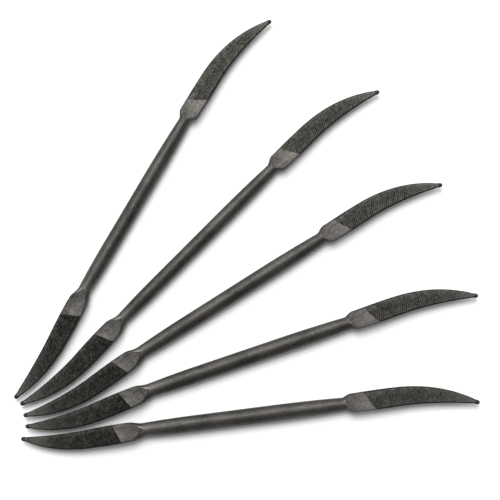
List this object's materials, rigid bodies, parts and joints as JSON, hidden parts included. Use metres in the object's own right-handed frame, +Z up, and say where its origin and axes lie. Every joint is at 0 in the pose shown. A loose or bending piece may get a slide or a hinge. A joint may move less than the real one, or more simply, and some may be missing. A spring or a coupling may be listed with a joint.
{
  "type": "riffler file set",
  "caption": "Fanned set of double-ended steel riffler files: round shanks with flat, curved, toothed heads, leaf-shaped at one end and sabre-shaped at the other, for tight curves.",
  "frame": {"origin": "the middle of the fan's outline, on the surface that the files lie on", "axes": "+Z up from the surface; +X along the fan's wider span, from the leaf heads towards the sabre heads; +Y away from the viewer, towards the steepest file's sabre head"},
  "size_m": [0.1774, 0.1698, 0.0062],
  "materials": {
    "tool_steel": "dark matt hardened steel, black on the shank and the teeth, brushed grey on the ground heels"
  },
  "bodies": {
    "root": {"riffler_1": "tool_steel", "riffler_2": "tool_steel", "riffler_3": "tool_steel", "riffler_4": "tool_steel", "riffler_5": "tool_steel"}
  },
  "joints": []
}
